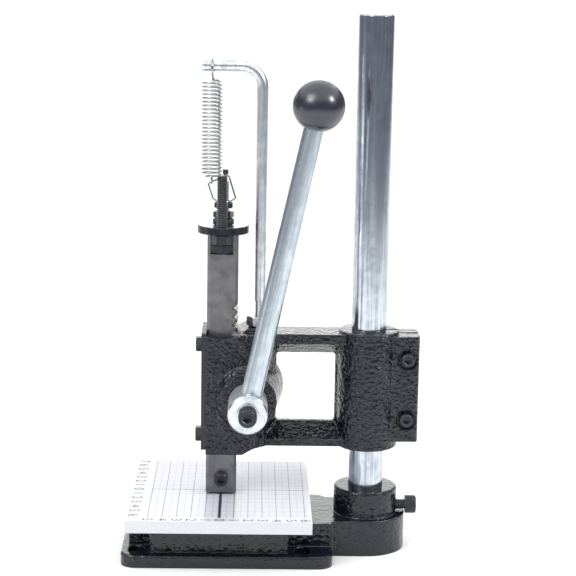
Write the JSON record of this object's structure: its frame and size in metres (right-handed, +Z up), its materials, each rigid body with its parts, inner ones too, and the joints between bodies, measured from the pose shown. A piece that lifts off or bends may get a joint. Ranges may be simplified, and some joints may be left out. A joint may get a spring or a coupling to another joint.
{
  "type": "arbor press",
  "caption": "Bench arbor press: a hand lever turns a pinion that drives a rack-cut ram down on a cutting board; the head slides and swings on a round column.",
  "frame": {"origin": "on the bench, straight below the ram's axis", "axes": "+X from the ram towards the column, +Y away from the operator (the lever side is -Y), +Z up"},
  "size_m": [0.2133, 0.1522, 0.387],
  "materials": {
    "black_casting": "gloss black hammer-textured paint on cast iron",
    "black_plate": "satin black",
    "black_fasteners": "black oxide, lightly oiled",
    "white_board": "smooth white plastic with a printed centimetre grid",
    "chromed_bar": "ground and chrome plated",
    "zinc_steel": "bright zinc plate",
    "ram_steel": "raw drawn steel, lightly oiled",
    "dark_turned_steel": "turned face, dark rim",
    "spring_wire": "bright drawn wire",
    "black_knob": "polished black moulded plastic"
  },
  "bodies": {
    "base": {"base_casting": "black_casting"},
    "board": {"cutting_board": "white_board"},
    "lock_screw": {"column_lock_screw": "black_fasteners"},
    "column": {"column": "chromed_bar"},
    "head": {"head_casting": "black_casting", "clamp_bolts": "black_fasteners", "guide_plate": "black_plate", "guide_plate_bolts": "black_fasteners", "rear_plate_screws": "black_fasteners", "hanger_rod": "zinc_steel", "hanger_lock_nut": "zinc_steel", "return_spring": "spring_wire"},
    "lever": {"pinion_shaft": "ram_steel", "pinion_end_washer": "black_fasteners", "pinion_end_screw": "black_fasteners", "lever_hub": "zinc_steel", "hub_key": "ram_steel", "hub_washer": "zinc_steel", "hub_screw": "black_fasteners", "lever_rod": "zinc_steel", "ball_knob": "black_knob"},
    "ram": {"ram": "ram_steel", "stop_disc": "dark_turned_steel", "stop_bolt": "black_fasteners", "stop_lock_nut": "black_fasteners", "centre_post": "black_fasteners", "post_nuts": "black_fasteners", "spring_nut": "black_fasteners", "spring_link": "spring_wire"},
    "die_screw": {"die_clamp_screw": "black_fasteners"}
  },
  "joints": [
    {"name": "board_slide", "type": "slide", "parent": "base", "child": "board", "axis": [-1, 0, 0], "range_m": [0, 0.12]},
    {"name": "lock_screw_travel", "type": "slide", "parent": "base", "child": "lock_screw", "axis": [1, 0, 0], "range_m": [0, 0.006]},
    {"name": "column_swivel", "type": "hinge", "parent": "base", "child": "column", "pos_m": [0.1058, 0, 0.02], "axis": [0, 0, 1], "range_deg": [-80, 80]},
    {"name": "head_height", "type": "slide", "parent": "column", "child": "head", "axis": [0, 0, 1], "range_m": [0, 0.225]},
    {"name": "lever_swing", "type": "hinge", "parent": "head", "child": "lever", "pos_m": [0.019, 0, 0.1145], "axis": [0, 1, 0], "range_deg": [-6, 86]},
    {"name": "ram_slide", "type": "slide", "parent": "head", "child": "ram", "axis": [0, 0, 1], "range_m": [-0.0011, 0.0152], "stiffness_N_per_m": 288, "springref_m": 0.04, "deforming": ["return_spring"]},
    {"name": "die_screw_travel", "type": "slide", "parent": "ram", "child": "die_screw", "axis": [0, -1, 0], "range_m": [0, 0.004]}
  ],
  "couplings": [
    {"joint": "ram_slide", "follows": "lever_swing", "m_per_rad": 0.01}
  ]
}
